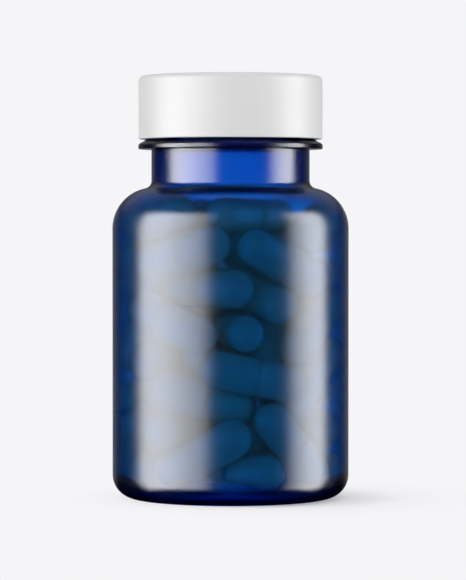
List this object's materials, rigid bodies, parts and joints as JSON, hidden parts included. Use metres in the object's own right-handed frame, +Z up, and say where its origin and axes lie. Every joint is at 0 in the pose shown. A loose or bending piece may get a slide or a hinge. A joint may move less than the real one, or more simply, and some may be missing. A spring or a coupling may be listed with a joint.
{
  "type": "screw-cap pill vial",
  "caption": "Translucent wide-mouth pill vial with a threaded neck, a smooth screw cap with a sealing liner, and a loose fill of two-piece hard capsules.",
  "frame": {"origin": "centre of the ring that the bottle stands on", "axes": "+Z up along the bottle's axis, towards the cap; +X to the right and -Y towards the viewer"},
  "size_m": [0.0524, 0.0524, 0.0936],
  "materials": {
    "bottle": "translucent cobalt blue plastic with a fine frosted outside",
    "cap": "matte white moulded polypropylene",
    "liner": "foamed sheet with a smooth facing",
    "capsule": "opaque hard gelatin with a soft gloss"
  },
  "bodies": {
    "bottle": {"bottle": "bottle", "capsule_01": "capsule", "capsule_02": "capsule", "capsule_03": "capsule", "capsule_04": "capsule", "capsule_05": "capsule", "capsule_06": "capsule", "capsule_07": "capsule", "capsule_08": "capsule", "capsule_09": "capsule", "capsule_10": "capsule", "capsule_11": "capsule", "capsule_12": "capsule", "capsule_13": "capsule", "capsule_14": "capsule", "capsule_15": "capsule", "capsule_16": "capsule", "capsule_17": "capsule", "capsule_18": "capsule", "capsule_19": "capsule", "capsule_20": "capsule", "capsule_21": "capsule", "capsule_22": "capsule", "capsule_23": "capsule", "capsule_24": "capsule", "capsule_25": "capsule", "capsule_26": "capsule", "capsule_27": "capsule", "capsule_28": "capsule", "capsule_29": "capsule", "capsule_30": "capsule", "capsule_31": "capsule", "capsule_32": "capsule", "capsule_33": "capsule", "capsule_34": "capsule", "capsule_35": "capsule", "capsule_36": "capsule", "capsule_37": "capsule", "capsule_38": "capsule", "capsule_39": "capsule", "capsule_40": "capsule", "capsule_41": "capsule", "capsule_42": "capsule", "capsule_43": "capsule", "capsule_44": "capsule", "capsule_45": "capsule", "capsule_46": "capsule", "capsule_47": "capsule", "capsule_48": "capsule", "capsule_49": "capsule", "capsule_50": "capsule", "capsule_51": "capsule", "capsule_52": "capsule", "capsule_53": "capsule", "capsule_54": "capsule", "capsule_55": "capsule"},
    "liner": {"cap_liner": "liner"},
    "cap": {"screw_cap": "cap"}
  },
  "joints": [
    {"name": "cap_lift", "type": "slide", "parent": "bottle", "child": "liner", "axis": [0, 0, 1], "range_m": [0, 0.0254]},
    {"name": "cap_turn", "type": "hinge", "parent": "liner", "child": "cap", "pos_m": [0, 0, 0.0865], "axis": [0, 0, 1], "range_deg": [0, 2160]}
  ],
  "couplings": [
    {"joint": "cap_turn", "follows": "cap_lift", "rad_per_m": 1484.2}
  ]
}
